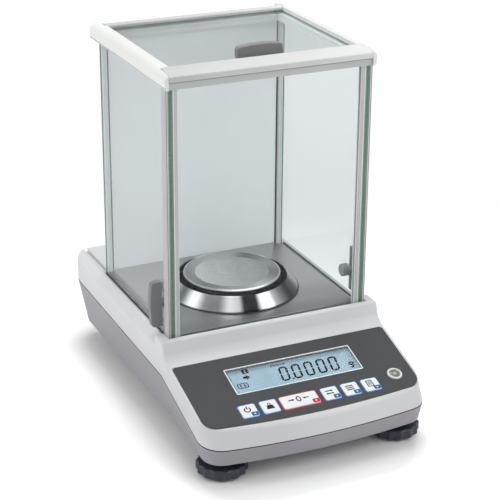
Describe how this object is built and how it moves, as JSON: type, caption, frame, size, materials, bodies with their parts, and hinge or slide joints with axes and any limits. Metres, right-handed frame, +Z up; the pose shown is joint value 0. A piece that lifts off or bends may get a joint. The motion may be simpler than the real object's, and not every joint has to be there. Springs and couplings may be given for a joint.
{
  "type": "analytical balance",
  "caption": "Laboratory balance with a glass draught shield on a wedge-shaped base, sliding doors, a round pan in a conical ring, a sloping key console and levelling feet.",
  "frame": {"origin": "on the bench, under the middle of the base", "axes": "+Z up; +X to the right of someone who reads the display; +Y towards the back, so the console faces -Y"},
  "size_m": [0.21, 0.34, 0.3328],
  "materials": {
    "housing_white": "fine texture",
    "tray_grey": "fine texture",
    "frame_white": "satin",
    "glass": "clear, green at the edges",
    "panel_grey": "satin",
    "steel": "brushed",
    "overlay": "satin foil",
    "key_white": "satin",
    "dark_plastic": "satin",
    "foot_plastic": "matte",
    "rubber": "matte",
    "alloy": "machined",
    "circuit_board": "solder mask",
    "lcd": "gloss",
    "brass": "machined"
  },
  "bodies": {
    "base": {"back_panel": "panel_grey", "bottom_tray": "tray_grey", "cell_base_plate": "alloy", "coil_former": "brass", "console_overlay": "overlay", "data_port": "dark_plastic", "dc_inlet": "dark_plastic", "display_board": "circuit_board", "display_window": "glass", "door_guide_left": "frame_white", "door_guide_right": "frame_white", "floor_plate": "steel", "foot_insert_left": "dark_plastic", "foot_insert_right": "dark_plastic", "front_glass": "glass", "front_post_left": "frame_white", "front_post_right": "frame_white", "keypad_mat": "rubber", "lcd_module": "lcd", "level_housing": "alloy", "level_vial": "glass", "load_cell_block": "alloy", "load_receptor": "alloy", "magnet_pot": "steel", "main_board": "circuit_board", "rear_crossbar": "frame_white", "rear_foot_left": "rubber", "rear_foot_right": "rubber", "rear_post_left": "frame_white", "rear_post_right": "frame_white", "top_front_bar": "frame_white", "top_rail_left": "frame_white", "top_rail_right": "frame_white", "top_rear_bar": "frame_white", "upper_housing": "housing_white"},
    "left_door": {"left_door_glass": "glass", "left_door_handle": "dark_plastic", "left_door_knob": "dark_plastic"},
    "right_door": {"right_door_glass": "glass", "right_door_handle": "dark_plastic", "right_door_knob": "dark_plastic"},
    "top_door": {"top_door_glass": "glass", "top_door_handle": "dark_plastic", "top_door_knob": "dark_plastic"},
    "pan": {"weighing_pan": "steel", "pan_support": "alloy"},
    "ring": {"shield_ring": "steel"},
    "power_key": {"key_power": "key_white"},
    "calibrate_key": {"key_calibrate": "key_white"},
    "tare_key": {"key_tare": "key_white"},
    "unit_key": {"key_unit": "key_white"},
    "menu_key": {"key_menu": "key_white"},
    "print_key": {"key_print": "key_white"},
    "left_foot": {"foot_pad_left": "rubber"},
    "right_foot": {"foot_pad_right": "rubber"},
    "left_wheel": {"foot_wheel_left": "foot_plastic"},
    "right_wheel": {"foot_wheel_right": "foot_plastic"}
  },
  "joints": [
    {"name": "left_door_slide", "type": "slide", "parent": "base", "child": "left_door", "axis": [0, 1, 0], "range_m": [0, 0.11]},
    {"name": "right_door_slide", "type": "slide", "parent": "base", "child": "right_door", "axis": [0, 1, 0], "range_m": [0, 0.11]},
    {"name": "top_door_slide", "type": "slide", "parent": "base", "child": "top_door", "axis": [0, 1, 0], "range_m": [0, 0.11]},
    {"name": "pan_lift", "type": "slide", "parent": "base", "child": "pan", "axis": [0, 0, 1], "range_m": [0, 0.06]},
    {"name": "ring_lift", "type": "slide", "parent": "base", "child": "ring", "axis": [0, 0, 1], "range_m": [0, 0.06]},
    {"name": "power_press", "type": "slide", "parent": "base", "child": "power_key", "axis": [0, 0.2924, -0.9563], "range_m": [0, 0.00045], "stiffness_N_per_m": 1500},
    {"name": "calibrate_press", "type": "slide", "parent": "base", "child": "calibrate_key", "axis": [0, 0.2924, -0.9563], "range_m": [0, 0.00045], "stiffness_N_per_m": 1500},
    {"name": "tare_press", "type": "slide", "parent": "base", "child": "tare_key", "axis": [0, 0.2924, -0.9563], "range_m": [0, 0.00045], "stiffness_N_per_m": 1500},
    {"name": "unit_press", "type": "slide", "parent": "base", "child": "unit_key", "axis": [0, 0.2924, -0.9563], "range_m": [0, 0.00045], "stiffness_N_per_m": 1500},
    {"name": "menu_press", "type": "slide", "parent": "base", "child": "menu_key", "axis": [0, 0.2924, -0.9563], "range_m": [0, 0.00045], "stiffness_N_per_m": 1500},
    {"name": "print_press", "type": "slide", "parent": "base", "child": "print_key", "axis": [0, 0.2924, -0.9563], "range_m": [0, 0.00045], "stiffness_N_per_m": 1500},
    {"name": "left_foot_lower", "type": "slide", "parent": "base", "child": "left_foot", "axis": [0, 0, -1], "range_m": [0, 0.0051]},
    {"name": "right_foot_lower", "type": "slide", "parent": "base", "child": "right_foot", "axis": [0, 0, -1], "range_m": [0, 0.0051]},
    {"name": "left_foot_turn", "type": "hinge", "parent": "left_foot", "child": "left_wheel", "pos_m": [-0.0826, -0.1399, 0.006], "axis": [0, 0, -1], "range_deg": [0, 1440]},
    {"name": "right_foot_turn", "type": "hinge", "parent": "right_foot", "child": "right_wheel", "pos_m": [0.0826, -0.1399, 0.006], "axis": [0, 0, -1], "range_deg": [0, 1440]}
  ],
  "couplings": [
    {"joint": "left_foot_lower", "follows": "left_foot_turn", "m_per_rad": 0.00019894},
    {"joint": "right_foot_lower", "follows": "right_foot_turn", "m_per_rad": 0.00019894}
  ]
}
